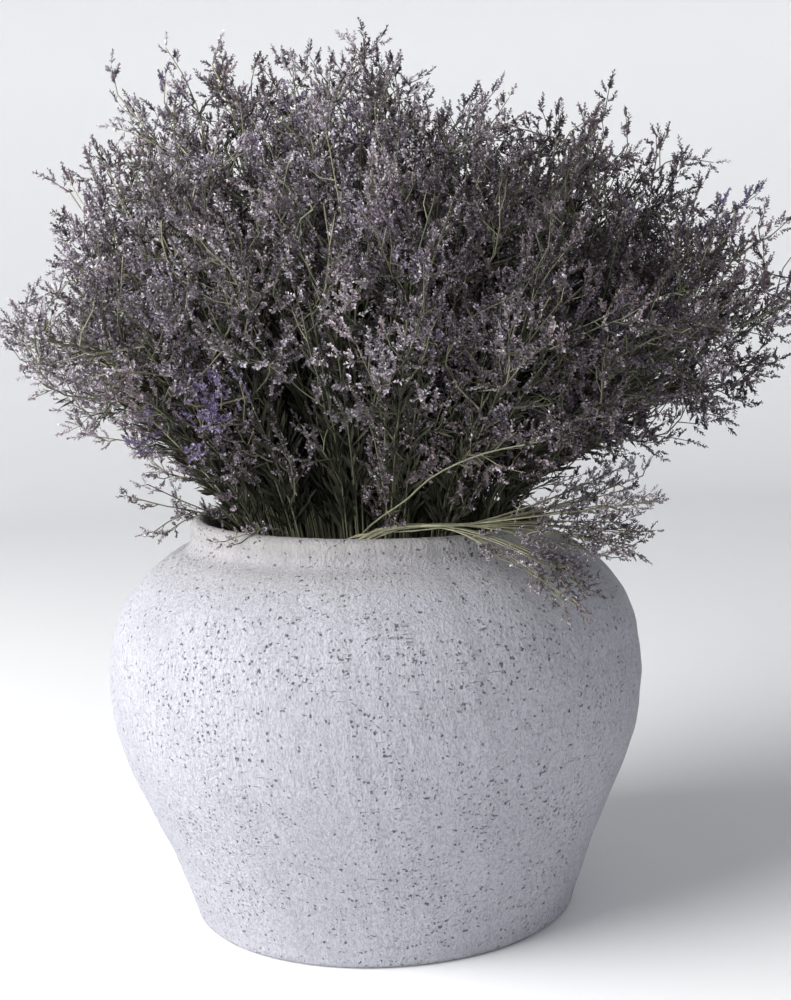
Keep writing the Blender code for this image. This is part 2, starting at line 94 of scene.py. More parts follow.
# Finishes: roughness and specular
STONE_FINISH = (0.88, 0.25)
FLORET_FINISH = (0.80, 0.2)
STEM_FINISH = (0.62, 0.3)
FLOOR_FINISH = (0.7, 0.5)
# Noises of the clay: scale, stretch, detail, roughness
CLAY_NOISES = {
    "drag": (420, (1, 1, 0.26), 3, 0.6),
    "grit": (800, (1, 1, 0.7), 4, 0.7),
    "lumps": (400, (1, 1, 0.85), 3, 0.6),
    "broad": (14, (1, 1, 1), 3),
}
# Patterns: a noise, and the range of it that is mapped to a share
PATTERNS = {
    "clusters": ((16, (1, 1, 1.3), 3), (0.38, 0.66, 0.16, 1.0)),
    "scratches": ((300, (0.22, 0.22, 2.4), 2), (0.69, 0.76)),
    "scratched": ((30, (1, 1, 1), 2), (0.50, 0.62)),
    "rough": ((13, (1, 1, 1), 3), (0.40, 0.62, 0.25, 1.2)),
    "brown": ((22, (1, 1, 1), 2), (0.45, 0.68, 0.0, 0.55)),
    # Painted shade: dark patches on the florets, for hollows in the bunch
    "hollow_shade": ((30, (1, 1, 1), 2), (0.53, 0.40, 0.0, 0.58)),
    "streaks": ((260, (1, 1, 0.25), 2), (0.35, 0.70, 0.0, 0.45)),
}

# Colours of the stoneware, and how far below the top the painted shade on its lip, under the bunch, fades
# in
CLAY_STOPS = ((0.30, (0.405, 0.406, 0.452)), (0.70, (0.485, 0.487, 0.540)))
LIP_SHADE_COLOUR = (0.315, 0.300, 0.285)
LIP_SHADE_STRENGTH = 0.70
LIP_FADE = (0.034, 0.004)
# Painted shade in the pits and scratches: its colour and how strongly it covers the clay
PIT_SHADE_COLOUR = (0.058, 0.056, 0.058)
PIT_SHADE_STRENGTH = 0.88
SCRATCH_STRENGTH = 0.42
# Layers over the clay: their noise, where it starts and is full, the most it covers, colour
CLAY_LAYERS = (
    ("drag", 0.46, 0.68, 0.32, (0.26, 0.26, 0.295)),
    ("lumps", 0.52, 0.34, 0.40, (0.24, 0.24, 0.265)),
    ("grit", 0.50, 0.72, 0.60, (0.62, 0.62, 0.67)),
    ("grit", 0.46, 0.28, 0.60, (0.20, 0.20, 0.22)),
)
# Pits, painted dark as the shade in them: cells in a metre, size in a cell, unevenness of the edge, stretch
# and strength
PITS = (
    (170, 0.17, 0.0060, (1, 1, 1), 1.0),
    (250, 0.30, 0.0044, (1, 1, 1), 0.9),
    (400, 0.38, 0.0028, (1, 1, 1), 0.8),
    (210, 0.24, 0.0034, (0.55, 0.55, 1.8), 0.8),
)
PIT_NOISE = 2.2
PIT_SIZES = 1.3
PIT_SLOPE = 0.6
# Relief of the stoneware, as shares of its depth
RELIEF_DEPTH = 0.0016
DRAG_RELIEF = 0.55
GRIT_RELIEF = 0.6
MARK_RELIEF = 1.5

# Bunch, as the part's source lays it out
SPRAYS = 41
GOLDEN_ANGLE = math.pi * (3 - math.sqrt(5))
FLOOR_SPREAD = 0.072
WAIST_SPREAD = 0.082
WAIST_HEIGHT = 0.180
MOUTH_SPREAD = 0.097
FAN_CENTRE = 0.247
# Reach of the tips from the middle of the mouth: degrees above level, distance
LEFT_REACH = ((28, 0.312), (36, 0.302), (44, 0.280), (54, 0.292), (64, 0.332), (80, 0.342), (90, 0.332))
RIGHT_REACH = (
    (20, 0.305),
    (27, 0.340),
    (34, 0.340),
    (42, 0.298),
    (50, 0.340),
    (58, 0.342),
    (67, 0.296),
    (78, 0.312),
    (90, 0.332),
)
FRONT_REACH = ((35, 0.250), (50, 0.268), (70, 0.300), (90, 0.332))
BACK_REACH = FRONT_REACH
SIDE_BLEND = 1.3
LOWEST_LEFT = 30
LOWEST_RIGHT = 24
LOWEST_FRONT = 38
LOWEST_BACK = 36
STEM_BOW = 0.010
CELL_LIMIT = 1.25
RIM_OF_BUNCH = 1.06
TIP_OVERRUN = 0.023

# Dip in the top of the bunch, right of its middle: places across, lengths there as a share, where it fades
DIP_PLACES = (0.045, 0.080, 0.150, 0.175, 0.200, 0.230, 0.260)
DIP_SHARES = (1.00, 0.91, 0.91, 0.93, 0.97, 1.02, 1.00)
DIP_DEPTH = 0.11
DIP_HEIGHTS = (0.40, 0.47)

# Stems of a spray: several stand together, and part on their way up
STEMS = 9
STEM_POINTS = 16
STEM_ASIDE = 0.55
STEM_GATHER = 0.55
STEM_ENDS = (0.80, 0.92)
MAIN_STEM_END = 0.95
STEM_WANDER = 0.10
STEM_WAVES = (7, 6)
STEM_RADIUS = 0.0009
STEM_TAPER = 0.55
STEM_SIDES = 3
# Tones of the stems on each side of the bunch, round from its right; the sides on the right are drawn
# darker as painted shade, away from the light
STEM_TONES_WITH_PAINTED_SHADE = {
    "right": 0.46,
    "back_right": 0.48,
    "back_left": 0.62,
    "left": 0.70,
    "front_left": 0.70,
    "front_right": 0.60,
}

# Branches, in the disc that the stems pass through: shares of the stem's run and of the spray's cell
INNER_RING = 0.30
OUTER_RING = 0.85
BRANCHES_INNER = 22
BRANCHES_OUTER = 29
BRANCH_POINTS = 6
BRANCH_RISE = (0.06, 0.15)
LOWEST_BRANCH_INNER = 0.78
LOWEST_BRANCH_FRONT = 0.57
LOWEST_BRANCH_SIDE = 0.62
HIGHEST_BRANCH = 0.99
BRANCH_CROWDING = 0.62
BRANCH_SWAY = 0.35
BRANCH_TURN = 1.1
BRANCH_BELOW_END = 0.02
BRANCH_SPREAD = (0.08, 1)
# How wide the branch tips spread in their cell, by their place on the stem's run
BRANCH_WIDTHS = ((0.56, 0.80), (0.66, 1.00), (0.80, 1.15), (0.90, 1.10), (0.98, 0.85))
BRANCH_RADIUS = 0.0007
BRANCH_TAPER = 0.60
BRANCH_SIDES = 3

# Twigs on the branches, the lower ones longer, and spikes of florets on the twigs
BEND_BACK = 0.50
LAST_LEAN = 0.08
UNEVEN_STEPS = 0.3
TWIG_POINTS = 3
TWIG_RADIUS = 0.00042
TWIG_TAPER = 0.60
TWIG_SIDES = 3
TWIG = {
    "number": 6,
    "shares": (0.34, 1.0),
    "lean": (0.50, 1.10),
    "length": (0.012, 0.022),
    "level": 0.6,
    "scatter": 0.34,
    "rise": 0.10,
}
SPIKE_HALF_WIDTH = 0.0011
# Painted shade: how much darker a spike's body is drawn than its florets
SPIKE_PAINTED_SHADE = 0.28
SPIKE = {
    "number": 5,
    "shares": (0.28, 1.0),
    "lean": (0.45, 1.10),
    "length": (0.007, 0.0115),
    "level": 0.0,
    "scatter": 0.30,
    "rise": 0.25,
}
FLORETS = 10
FIRST_FLORET = 0.12
FLORET_LENGTH = (0.0025, 0.0035)
FLORET_WIDTH = (0.0015, 0.0022)
FLORET_LEAN = (0.60, 1.05)
FLORET_SIZE = 1.1
FLORET_SHRINK = 0.35
FLORET_FOLD = 0.35
FLORET_TURN = 1.3
BRACT_WIDEST = 0.62
# How near to a floret's mouth the points of florets and of bracts are: foot, side, tip, side
FLORET_MOUTH = (0, 0.8, 1, 0.8)
BRACT_MOUTH = (0.1, 0.5, 0.7, 0.5)

# Dark leaf-shaped filler on the stems inside the bunch: painted shade that darkens its inside
LEAVES = 78
LEAVES_FROM_INNER = 0.55
LEAVES_FROM_OUTER = 0.68
LEAVES_TO = 0.95
LEAF_LEAN = (0.2, 0.8)
LEAF_LENGTH = (0.016, 0.030)
LEAF_WIDTH = (0.0020, 0.0034)
LEAF_SHRINK = 0.55
LEAF_SHRINK_POWER = 4
LEAF_FOLD = 0.35
# Painted shade: the filler leaves are dark, for the deep inside of the bunch
FILLER_SHADE_TONE = 0.12
FILLER_SHADE_TONES = 0.06
BRANCH_LEAVES = 9
BRANCH_LEAVES_TO = 0.55
BRANCH_LEAF_SIZE = 0.55

# Tones: how much stems, branches, spikes and florets differ, where the right of the bunch gets painted
# shade, and where florets are violet
WOOD_TONES = 0.2
BRANCH_TONES = 0.17
SPIKE_TONES = 0.12
FLORET_TONE = 0.50
FLORET_TONES = 0.23
RIGHT_PAINTED_SHADE = 0.38
RIGHT_SHADE_PLACES = (0.01, 0.12, 0.21, 0.27)
RIGHT_SHADE_SHARES = (0, 1, 1, 0.45)
VIOLET_USUAL = (-0.07, 0.12)
VIOLET_FADE = 1.3
VIOLET_PATCHES = (
    ((-0.115, -0.100, 0.324), 0.024, 0.55),
    ((-0.099, -0.120, 0.332), 0.026, 0.62),
    ((-0.076, -0.145, 0.339), 0.024, 0.55),
    ((-0.050, -0.150, 0.308), 0.022, 0.60),
    ((0.260, 0.000, 0.439), 0.045, 0.60),
    ((-0.154, 0.000, 0.555), 0.035, 0.20),
)

# Colours of the florets and of the dry stems, by their tone
FLORET_STOPS = (
    (0.00, (0.082, 0.070, 0.075)),
    (0.25, (0.208, 0.176, 0.202)),
    (0.50, (0.370, 0.321, 0.368)),
    (0.75, (0.630, 0.575, 0.640)),
    (1.00, (0.900, 0.865, 0.915)),
)
FLORET_BROWN = (0.38, 0.295, 0.325)
FLORET_VIOLET = (0.275, 0.215, 0.520)
FLORET_FOOT = (0.060, 0.060, 0.042)
# Colour of the painted shade in the bunch's hollows
FLORET_HOLLOW_SHADE = (0.045, 0.040, 0.042)
# How the foot's colour fades on the way to the mouth
FOOT_FADE = (0.0, 0.70, 0.90, 0.0)
STEM_STOPS = (
    (0.00, (0.024, 0.022, 0.018)),
    (0.20, (0.055, 0.058, 0.038)),
    (0.50, (0.130, 0.142, 0.087)),
    (0.80, (0.242, 0.252, 0.165)),
    (1.00, (0.370, 0.360, 0.240)),
)
STEM_STREAK = (0.075, 0.072, 0.045)

# Tips of the sprigs that stand out of the bunch's outline, with where they leave their stems
STANDING_REACH = 1.02
STANDING_POWER = 1.5
STANDING_SHARE = 0.86
STANDING_OUT = (
    (0.72, (-0.165, 0.000, 0.552)),
    (0.72, (-0.196, 0.010, 0.492)),
    (0.72, (-0.090, 0.020, 0.563)),
    (0.72, (0.004, -0.010, 0.566)),
    (0.72, (0.040, 0.010, 0.552)),
    (0.72, (0.182, 0.000, 0.504)),
    (0.72, (0.216, 0.010, 0.490)),
    (0.72, (0.252, 0.000, 0.466)),
    (0.54, (0.268, -0.010, 0.338)),
    (0.54, (0.210, -0.070, 0.350)),
    (0.54, (-0.196, -0.010, 0.318)),
    (0.54, (-0.250, 0.000, 0.380)),
)

# Sprays laid over the rim by hand: their run from the mouth on, and where their branches leave and end
LAID_INSIDE = (0, 0.15, 0.28)
LAID_POINTS = 40
LIMB_POINTS = 14
LIMB_ROOT = 0.50
LIMB_ASIDE = 0.0009
LAID_SWING = 0.10
LAID_SPRAYS = {
    "trailing_spray": {
        "route": (
            (-0.012, -0.092, 0.2550),
            (0.028, -0.106, 0.2600),
            (0.070, -0.118, 0.2650),
            (0.165, -0.098, 0.2700),
        ),
        "limbs": (
            (0.74, (0.126, -0.090, 0.272)),
            (0.74, (0.136, -0.078, 0.282)),
            (0.75, (0.152, -0.062, 0.286)),
            (0.73, (0.142, -0.085, 0.268)),
            (0.75, (0.160, -0.066, 0.275)),
            (0.76, (0.170, -0.054, 0.281)),
            (0.75, (0.171, -0.066, 0.266)),
            (0.75, (0.152, -0.085, 0.257)),
            (0.74, (0.163, -0.081, 0.250)),
            (0.74, (0.150, -0.092, 0.252)),
            (0.74, (0.137, -0.100, 0.249)),
            (0.74, (0.154, -0.098, 0.243)),
            (0.74, (0.143, -0.105, 0.239)),
            (0.74, (0.158, -0.087, 0.243)),
            (0.73, (0.116, -0.110, 0.262)),
            (0.73, (0.108, -0.124, 0.252)),
            (0.72, (0.115, -0.136, 0.239)),
            (0.72, (0.120, -0.144, 0.230)),
            (0.71, (0.112, -0.142, 0.235)),
            (0.72, (0.118, -0.138, 0.234)),
            (0.71, (0.109, -0.149, 0.223)),
            (0.71, (0.115, -0.150, 0.221)),
            (0.71, (0.075, -0.140, 0.247)),
        ),
        "tone": 0.90,
        "pale": 0.34,
        "floret": 0.66,
        "twig": {
            **TWIG,
            "number": 7,
            "shares": (0.80, 1.0),
            "length": (0.008, 0.014),
            "lean": (0.35, 0.9),
        },
        "spike": {**SPIKE, "number": 5, "length": (0.004, 0.007)},
    },
    "drooping_sprig": {
        "route": (
            (-0.093, 0.000, 0.2550),
            (-0.112, 0.000, 0.2630),
            (-0.131, -0.002, 0.2675),
            (-0.154, -0.005, 0.2750),
        ),
        "limbs": (
            (0.86, (-0.139, -0.014, 0.2530)),
            (0.84, (-0.128, -0.014, 0.2540)),
            (0.80, (-0.142, -0.008, 0.2830)),
        ),
        "tone": 0.55,
        "pale": 0.05,
        "floret": 0.75,
        "twig": {**TWIG, "number": 6, "shares": (0.66, 1.0), "length": (0.005, 0.010)},
        "spike": {**SPIKE, "number": 4, "length": (0.004, 0.007)},
    },
    "front_sprig": {
        "route": ((-0.051, -0.078, 0.2550), (-0.060, -0.092, 0.2640), (-0.074, -0.113, 0.2580)),
        "limbs": ((0.90, (-0.085, -0.094, 0.2565)),),
        "tone": 0.6,
        "pale": 0.0,
        "floret": 0.7,
        "twig": {**TWIG, "number": 4, "shares": (0.80, 1.0), "length": (0.004, 0.007)},
        "spike": {**SPIKE, "number": 3, "length": (0.004, 0.006)},
    },
}

# A pale stem that shows on the front of the bunch, and the share of its run from which it bears twigs
SHOWN_SIDE = "front_right"
SHOWN_STEM = (
    (-0.0101, -0.086, 0.2500),
    (0.0026, -0.103, 0.2646),
    (0.0230, -0.124, 0.2806),
    (0.0379, -0.144, 0.2955),
    (0.0621, -0.160, 0.3078),
    (0.0950, -0.178, 0.3160),
)
SHOWN_HEAD_FROM = 0.66
SHOWN_POINTS = 14
SHOWN_RADIUS = 0.0008
SHOWN_TAPER = 0.6
SHOWN_TONE = 0.66
SHOWN_TONES = 0.05

# Camera, at the photograph's viewing angle
CAMERA_PLACE = (0.0170, -1.0364, 0.3936)
CAMERA_PITCH = -7.045
CAMERA_ROLL = -2.3
CAMERA_SENSOR = 36
CAMERA_LENS = 57.7

# Stage: a round floor whose edge curves up out of sight
FLOOR_MIDDLE = 1.0
FLOOR_RADIUS = 2.1
FLOOR_CURVE = 1.0
CURVE_ROWS = 16
STAGE_HEIGHT = 1.6
STAGE_TURNS = 96
STAGE_COLOUR = (0.94, 0.945, 0.96)

# Soft light from the front left
KEY_PLACE = (-1.78, -0.86, 1.34)
KEY_TARGET = (0.0, 0.0, 0.28)
KEY_SIZE = 2.1
KEY_POWER = 95
KEY_COLOUR = (1.0, 0.99, 0.975)
SKY_COLOUR = (0.94, 0.965, 1.0)
SKY_STRENGTH = 0.28

# Numbers for the sums: what counts as nothing, and as upright
TINY = 1e-9
UPRIGHT = 0.9


def add_node(tree, kind, inputs=None, **settings):
    """A new node, with its inputs set to values or linked to other nodes' sockets."""
    node = tree.nodes.new(kind)
    for key, value in settings.items():
        setattr(node, key, value)
    for key, value in (inputs or {}).items():
        if isinstance(value, bpy.types.NodeSocket):
            tree.links.new(value, node.inputs[key])
        else:
            node.inputs[key].default_value = value
    return node


def new_material(name, roughness, specular):
    made = bpy.data.materials.new(name)
    made.use_nodes = True
    shader = made.node_tree.nodes["Principled BSDF"]
    shader.inputs["Roughness"].default_value = roughness
    shader.inputs["Specular IOR Level"].default_value = specular
    return made, made.node_tree, shader


def ramp(tree, factor, stops):
    """A colour ramp from (place, colour) stops."""
    node = add_node(tree, "ShaderNodeValToRGB", {"Fac": factor})
    line = node.color_ramp
    while len(line.elements) < len(stops):
        line.elements.new(0.5)
    for element, (place, colour) in zip(line.elements, stops):
        element.position = place
        element.color = (*colour, 1)
    return node.outputs["Color"]


def object_place(tree):
    return add_node(tree, "ShaderNodeTexCoord").outputs["Object"]


def stretched_noise(tree, scale, stretch, detail, roughness=0.5):
    """Noise in object space, drawn out along the axes that stretch makes small."""
    mapped = add_node(tree, "ShaderNodeMapping", {"Vector": object_place(tree), "Scale": stretch})
    inputs = {"Vector": mapped.outputs["Vector"], "Scale": scale, "Detail": detail, "Roughness": roughness}
    return add_node(tree, "ShaderNodeTexNoise", inputs).outputs["Fac"]


def between(tree, value, low, high, to_low=0.0, to_high=1.0):
    """Maps low..high to to_low..to_high, held at both ends."""
    inputs = {"Value": value, "From Min": low, "From Max": high, "To Min": to_low, "To Max": to_high}
    return add_node(tree, "ShaderNodeMapRange", inputs).outputs["Result"]


def pattern(tree, name):
    """One of the noise patterns, as a share."""
    noise, span = PATTERNS[name]
    return between(tree, stretched_noise(tree, *noise), *span)


def compute(tree, operation, a, b):
    node = add_node(tree, "ShaderNodeMath", operation=operation)
    for socket, value in zip(node.inputs, (a, b)):
        if isinstance(value, bpy.types.NodeSocket):
            tree.links.new(value, socket)
        else:
            socket.default_value = value
    return node.outputs["Value"]


def mix(tree, factor, a, b):
    """Colour a, covered by colour b as far as the factor says."""
    node = add_node(tree, "ShaderNodeMix", data_type="RGBA")
    for key, value in (("Factor_Float", factor), ("A_Color", a), ("B_Color", b)):
        socket = next(s for s in node.inputs if s.identifier == key)
        if isinstance(value, bpy.types.NodeSocket):
            tree.links.new(value, socket)
        else:
            socket.default_value = value if key == "Factor_Float" else (*value, 1)
    return next(s for s in node.outputs if s.identifier == "Result_Color")


def pits(tree, share, scale, size, warp, stretch):
    """Irregular pits in some of the cells of a Voronoi pattern: 1 in a pit, 0 outside."""
    place = object_place(tree)
    noise = add_node(tree, "ShaderNodeTexNoise", {"Vector": place, "Scale": scale * PIT_NOISE, "Detail": 3})
    inputs = {0: noise.outputs["Color"], 1: (0.5, 0.5, 0.5)}
    shift = add_node(tree, "ShaderNodeVectorMath", inputs, operation="SUBTRACT")
    shift = add_node(tree, "ShaderNodeVectorMath", {0: shift.outputs["Vector"]}, operation="SCALE")
    shift.inputs["Scale"].default_value = warp
    moved = add_node(tree, "ShaderNodeVectorMath", {0: place, 1: shift.outputs["Vector"]}, operation="ADD")
    drawn = add_node(tree, "ShaderNodeMapping", {"Vector": moved.outputs["Vector"], "Scale": stretch})
    cells = add_node(tree, "ShaderNodeTexVoronoi", {"Vector": drawn.outputs["Vector"], "Scale": scale})
    draw = add_node(tree, "ShaderNodeSeparateColor", {"Color": cells.outputs["Color"]})
    chosen = compute(tree, "LESS_THAN", draw.outputs["Red"], share)
    radius = compute(tree, "MULTIPLY", compute(tree, "POWER", draw.outputs["Green"], PIT_SIZES), size)
    edge = compute(tree, "SUBTRACT", radius, cells.outputs["Distance"])
    deep = between(tree, edge, 0.0, size * PIT_SLOPE)
    return compute(tree, "MULTIPLY", deep, chosen)


def stoneware_marks(tree):
    """Where the stoneware is painted dark as the shade in its hollows: pits, more of them in some places,
    and faint level scratches.
    """
    clusters = pattern(tree, "clusters")
    scratches = compute(tree, "MULTIPLY", pattern(tree, "scratches"), pattern(tree, "scratched"))
    marks = compute(tree, "MULTIPLY", scratches, SCRATCH_STRENGTH)
    for *shape, strength in PITS:
        found = compute(tree, "MULTIPLY", pits(tree, clusters, *shape), strength)
        marks = compute(tree, "MAXIMUM", marks, found)
    return marks


def stoneware():
    """Rough pale stoneware: pits with painted shade in them, drag marks from the wheel, fine grit, and
    painted shade on the lip under the bunch.
    """
    made, tree, shader = new_material("stoneware", *STONE_FINISH)
    noises = {name: stretched_noise(tree, *values) for name, values in CLAY_NOISES.items()}
    colour = ramp(tree, noises["broad"], CLAY_STOPS)
    for noise, start, full, most, shade in CLAY_LAYERS:
        colour = mix(tree, between(tree, noises[noise], start, full, 0.0, most), colour, shade)
    height = add_node(tree, "ShaderNodeSeparateXYZ", {"Vector": object_place(tree)}).outputs["Z"]
    low, high = (VASE_HEIGHT - below for below in LIP_FADE)
    # Painted shade: the lip under the bunch is drawn darker
    colour = mix(tree, between(tree, height, low, high, 0.0, LIP_SHADE_STRENGTH), colour, LIP_SHADE_COLOUR)
    marks = stoneware_marks(tree)
    # Painted shade: pits and scratches drawn dark
    colour = mix(tree, compute(tree, "MULTIPLY", marks, PIT_SHADE_STRENGTH), colour, PIT_SHADE_COLOUR)
    tree.links.new(colour, shader.inputs["Base Color"])
    drag = compute(tree, "MULTIPLY", noises["drag"], DRAG_RELIEF)
    relief = compute(tree, "ADD", drag, compute(tree, "MULTIPLY", noises["grit"], GRIT_RELIEF))
    lumps = compute(tree, "MULTIPLY", noises["lumps"], pattern(tree, "rough"))
    relief = compute(tree, "ADD", relief, lumps)
    relief = compute(tree, "SUBTRACT", relief, compute(tree, "MULTIPLY", marks, MARK_RELIEF))
    inputs = {"Height": relief, "Strength": 1.0, "Distance": RELIEF_DEPTH}
    tree.links.new(add_node(tree, "ShaderNodeBump", inputs).outputs["Normal"], shader.inputs["Normal"])
    return made


def tint_parts(tree):
    """The three parts of a piece's colour attribute: tone, nearness to the mouth, violet."""
    tint = add_node(tree, "ShaderNodeAttribute", attribute_name="tint").outputs["Color"]
    part = add_node(tree, "ShaderNodeSeparateColor", {"Color": tint})
    return [part.outputs[key] for key in ("Red", "Green", "Blue")]


def floret_material(name):
    """Papery florets: dark at the foot, pale lilac-grey at the mouth, each of its own tone, with patches of
    painted shade that stand for hollows in the bunch.
    """
    made, tree, shader = new_material(name, *FLORET_FINISH)
    tone, mouth, violet = tint_parts(tree)
    colour = ramp(tree, tone, FLORET_STOPS)
    colour = mix(tree, pattern(tree, "brown"), colour, FLORET_BROWN)
    colour = mix(tree, violet, colour, FLORET_VIOLET)
    colour = mix(tree, between(tree, mouth, *FOOT_FADE), colour, FLORET_FOOT)
    # Painted shade of the bunch's hollows, in patches
    colour = mix(tree, pattern(tree, "hollow_shade"), colour, FLORET_HOLLOW_SHADE)
    tree.links.new(colour, shader.inputs["Base Color"])
    return made


def stem_material(name):
    """Dry stems: olive to straw, each of its own tone, streaked along."""
    made, tree, shader = new_material(name, *STEM_FINISH)
    colour = ramp(tree, tint_parts(tree)[0], STEM_STOPS)
    colour = mix(tree, pattern(tree, "streaks"), colour, STEM_STREAK)
    tree.links.new(colour, shader.inputs["Base Color"])
    return made


def mesh_piece(name, points, faces, finish, tint=None, smooth=False):
    """A mesh object made of triangles, with its colour attribute."""
    mesh = bpy.data.meshes.new(name)
    mesh.vertices.add(len(points))
    mesh.vertices.foreach_set("co", np.ascontiguousarray(points, dtype=np.float32).ravel())
    mesh.loops.add(faces.size)
    mesh.loops.foreach_set("vertex_index", np.ascontiguousarray(faces, dtype=np.int32).ravel())
    mesh.polygons.add(len(faces))
    mesh.polygons.foreach_set("loop_start", np.arange(0, faces.size, faces.shape[1], dtype=np.int32))
    mesh.polygons.foreach_set("use_smooth", np.full(len(faces), smooth))
    mesh.update(calc_edges=True)
    if tint is not None:
        layer = mesh.color_attributes.new("tint", "FLOAT_COLOR", "POINT")
        shown = np.column_stack([tint, np.ones(len(tint))]).astype(np.float32)
        layer.data.foreach_set("color", shown.ravel())
    mesh.materials.append(finish)
    made = bpy.data.objects.new(name, mesh)
    bpy.context.collection.objects.link(made)
    return made


def lengths(vectors):
    return np.linalg.norm(vectors, axis=-1, keepdims=True)


def through(points, place):
    """Points of smooth curves through rows of given ones, each at its share of its run."""
    rise = np.diff(points, axis=1)
    steps = lengths(rise)
    rise = rise / steps
    before, after = steps[:, :-1], steps[:, 1:]
    inner = (after * rise[:, :-1] + before * rise[:, 1:]) / (before + after)
    slopes = np.concatenate([rise[:, :1], inner, rise[:, -1:]], axis=1)
    knots = np.concatenate([np.zeros((len(points), 1)), np.cumsum(steps[..., 0], axis=1)], axis=1)
    run = place * knots[:, -1]
    which = (run[:, None] >= knots[:, 1:-1]).sum(axis=1)
    row = np.arange(len(points))
    h = steps[row, which]
    t = (run - knots[row, which])[:, None] / h
    return (
        (1 + 2 * t) * (1 - t) ** 2 * points[row, which]
        + t * (1 - t) ** 2 * h * slopes[row, which]
        + t * t * (3 - 2 * t) * points[row, which + 1]
        + t * t * (t - 1) * h * slopes[row, which + 1]
    )


def table(pairs, place):
    """Values at places between the (place, value) pairs of a table."""
    return np.interp(place, *zip(*pairs))


def tips(q, stretch):
    """Where stems through the disc points q end."""
    rho = np.hypot(q[:, 0], q[:, 1])
    phi = np.arctan2(q[:, 1], q[:, 0])
    side = np.abs(np.cos(phi)) ** SIDE_BLEND
    right = np.cos(phi) > 0
    front = np.sin(phi) < 0
    lowest = side * np.where(right, LOWEST_RIGHT, LOWEST_LEFT)
    lowest = lowest + (1 - side) * np.where(front, LOWEST_FRONT, LOWEST_BACK)
    angle = 90 - (90 - lowest) * rho
    reach = side * np.where(right, table(RIGHT_REACH, angle), table(LEFT_REACH, angle))
    reach = reach + (1 - side) * np.where(front, table(FRONT_REACH, angle), table(BACK_REACH, angle))
    reach = reach * stretch
    lean = np.radians(angle)
    out = reach * np.cos(lean)
    return np.column_stack([out * np.cos(phi), out * np.sin(phi), FAN_CENTRE + reach * np.sin(lean)])


def flow(q, stretch, place):
    """World points of stems through the disc points q, at shares of their runs from the vase's floor."""
    rho = lengths(q)
    aside = np.column_stack([q, np.zeros(len(q))])
    foot = aside * FLOOR_SPREAD + UP * WALL
    waist = aside * WAIST_SPREAD + UP * WAIST_HEIGHT
    mouth = aside * MOUTH_SPREAD + UP * VASE_HEIGHT
    end = tips(q, stretch)
    middle = (mouth + end) / 2 + UP * STEM_BOW * rho
    return through(np.stack([foot, waist, mouth, middle, end], axis=1), place)


def flow_paths(q, stretch, place):
    """The same for whole paths: q has a row of disc points for each path."""
    count, points = place.shape
    stretch = np.repeat(stretch, points)
    return flow(q.reshape(-1, 2), stretch, place.ravel()).reshape(count, points, 3)


def dipped(q):
    """Share by which a spray is shorter or longer where the top of the bunch dips or rises."""
    x, y, z = tips(q[None], 1.0)[0]
    weight = math.exp(-((y / DIP_DEPTH) ** 2)) * np.interp(z, DIP_HEIGHTS, (0, 1))
    return 1 + weight * (np.interp(x, DIP_PLACES, DIP_SHARES) - 1)


def turned(angle):
    """Flat directions at given angles."""
    return np.stack([np.cos(angle), np.sin(angle)], axis=-1)


def disc_points():
    """Places of the sprays, spread evenly over a disc."""
    index = np.arange(SPRAYS)
    rho = np.sqrt((index + 0.5) / SPRAYS)
    return rho[:, None] * turned(index * GOLDEN_ANGLE)


def reserved_cells(points):
    """The disc point nearest to the place where each hand-laid spray passes the mouth."""
    cells = {}
    for name, laid in LAID_SPRAYS.items():
        mouth = np.array(laid["route"][0][:2]) / MOUTH_SPREAD
        order = np.argsort(np.linalg.norm(points - mouth, axis=1))
        cells[name] = int(next(i for i in order if int(i) not in cells.values()))
    return cells


def cell_reach(q, others, direction):
    """How far each spray's own cell of the disc runs from its stem in a direction."""
    apart = others[None] - q[:, None]
    ahead = (apart * direction[:, None]).sum(axis=2)
    half = (apart**2).sum(axis=2) / 2
    reach = np.where(ahead > TINY, half / np.maximum(ahead, TINY), CELL_LIMIT).min(axis=1)
    reach = np.minimum(reach, CELL_LIMIT / math.sqrt(SPRAYS))
    ahead = (q * direction).sum(axis=1)
    rim = np.sqrt(np.maximum(ahead**2 + RIM_OF_BUNCH**2 - (q**2).sum(axis=1), 0)) - ahead
    return np.minimum(reach, rim)


def measured_stretch(name, q):
    """How long a spray is beside the plain reach, measured on its CAD solid."""
    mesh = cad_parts[name].data
    points = np.empty(len(mesh.vertices) * 3)
    mesh.vertices.foreach_get("co", points)
    end = tips(q[None], 1.0)[0] - UP * FAN_CENTRE
    reach = np.linalg.norm(end)
    run = (points.reshape(-1, 3) - UP * FAN_CENTRE) @ (end / reach)
    return (run.max() - TIP_OVERRUN) / reach


def at_share(paths, which, share):
    """Points and directions at a share of the run of the chosen paths."""
    last = paths.shape[1] - 1
    place = share * last
    low = np.minimum(place.astype(int), last - 1)
    start = paths[which, low]
    run = paths[which, low + 1] - start
    return start + (place - low)[:, None] * run, run / lengths(run)


def beside(ahead, turn):
    """Directions square to the given ones, turned about them."""
    steep = np.abs(ahead[:, 2:]) > UPRIGHT
    level = np.cross(ahead, np.where(steep, [1.0, 0.0, 0.0], UP))
    level = level / lengths(level)
    above = np.cross(level, ahead)
    return np.cos(turn)[:, None] * level + np.sin(turn)[:, None] * above


